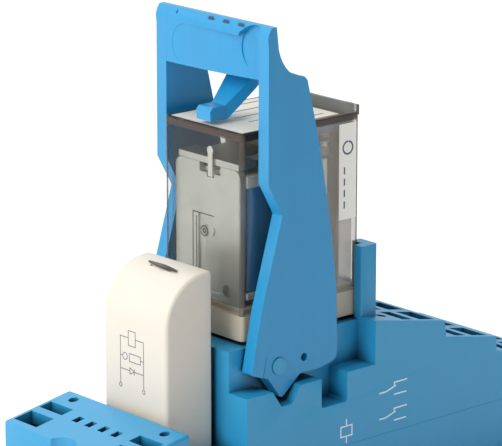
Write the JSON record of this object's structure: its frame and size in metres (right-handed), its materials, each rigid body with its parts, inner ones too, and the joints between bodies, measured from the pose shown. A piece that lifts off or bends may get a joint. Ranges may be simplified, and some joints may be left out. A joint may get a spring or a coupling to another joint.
{
  "type": "plug-in relay on a rail-mount socket",
  "caption": "Plug-in relay with a clear cover in a rail-mount spring-terminal socket, with a retaining and ejecting clip and a plug-in indicator module.",
  "frame": {"origin": "on the face that rests on the rail, under the axis of the relay", "axes": "+X along the socket from the coil terminals to the contact terminals, +Y along the rail, +Z away from the rail"},
  "size_m": [0.112, 0.0332, 0.0881],
  "materials": {
    "socket_blue": "satin moulded, fine grain",
    "clip_blue": "satin moulded, faint draw lines",
    "module_white": "satin moulded",
    "smoked_clear": "clear moulded, slightly smoked",
    "relay_beige": "matt moulded",
    "tape_blue": "glossy film",
    "label_cream": "matt print",
    "bobbin_white": "matt moulded",
    "button_blue": "satin moulded",
    "yoke_steel": "dull zinc plated",
    "spring_steel": "bright drawn wire",
    "clamp_steel": "dark stamped strip",
    "tinned_copper": "tinned strip",
    "contact_silver": "fine silver, dull",
    "copper_wire": "enamelled wire",
    "board_green": "solder resist",
    "light_clear": "clear moulded",
    "component_black": "moulded",
    "resistor_body": "lacquered"
  },
  "bodies": {
    "socket": {"socket_body": "socket_blue", "socket_base": "socket_blue", "rail_latch_spring": "spring_steel", "nc_strips": "tinned_copper", "no_strips": "tinned_copper", "com_strips": "tinned_copper", "coil_strips": "tinned_copper", "nc_cage_clamps": "clamp_steel", "no_cage_clamps": "clamp_steel", "com_cage_clamps": "clamp_steel", "coil_cage_clamps": "clamp_steel", "blade_forks": "tinned_copper", "module_forks": "tinned_copper"},
    "latch": {"rail_latch": "socket_blue"},
    "clip": {"retaining_clip": "clip_blue"},
    "module": {"module_housing": "module_white", "module_base": "module_white", "module_pins": "tinned_copper", "module_board": "board_green", "module_light": "light_clear", "module_diode": "component_black", "module_resistor": "resistor_body"},
    "relay": {"relay_cover": "smoked_clear", "relay_base": "relay_beige", "top_label": "label_cream", "side_label": "label_cream", "no_terminals": "tinned_copper", "nc_terminals": "tinned_copper", "com_terminals": "tinned_copper", "coil_terminals": "tinned_copper", "no_tips": "contact_silver", "nc_tips": "contact_silver", "com_braids": "copper_wire", "pole_partition": "relay_beige", "coil_bobbin": "bobbin_white", "coil_winding": "copper_wire", "coil_tape": "tape_blue", "yoke": "yoke_steel", "core": "yoke_steel", "return_spring": "spring_steel"},
    "armature": {"armature": "yoke_steel", "contact_carrier": "relay_beige", "moving_springs": "tinned_copper", "moving_tips": "contact_silver"},
    "button": {"test_button": "button_blue"}
  },
  "joints": [
    {"name": "clip_swing", "type": "hinge", "parent": "socket", "child": "clip", "pos_m": [-0.0093, 0, 0.0234], "axis": [0, -1, 0], "range_deg": [0, 18]},
    {"name": "relay_eject", "type": "slide", "parent": "socket", "child": "relay", "axis": [0, 0, 1], "range_m": [0, 0.0011]},
    {"name": "module_pull", "type": "slide", "parent": "socket", "child": "module", "axis": [0, 0, 1], "range_m": [0, 0.012]},
    {"name": "armature_rock", "type": "hinge", "parent": "relay", "child": "armature", "pos_m": [-0.0121, 0, 0.0575], "axis": [0, 1, 0], "range_deg": [0, 3], "stiffness_Nm_per_rad": 0.0004, "springref_deg": -28.65, "deforming": ["return_spring", "com_braids"]},
    {"name": "test_push", "type": "slide", "parent": "relay", "child": "button", "axis": [0, 0, -1], "range_m": [0, 0.00072], "stiffness_N_per_m": 400, "springref_m": -0.001},
    {"name": "latch_slide", "type": "slide", "parent": "socket", "child": "latch", "axis": [1, 0, 0], "range_m": [0, 0.0035], "stiffness_N_per_m": 500, "springref_m": -0.004, "deforming": ["rail_latch_spring"]}
  ],
  "couplings": [
    {"joint": "clip_swing", "follows": "relay_eject", "rad_per_m": 285},
    {"joint": "armature_rock", "follows": "test_push", "rad_per_m": 72}
  ]
}
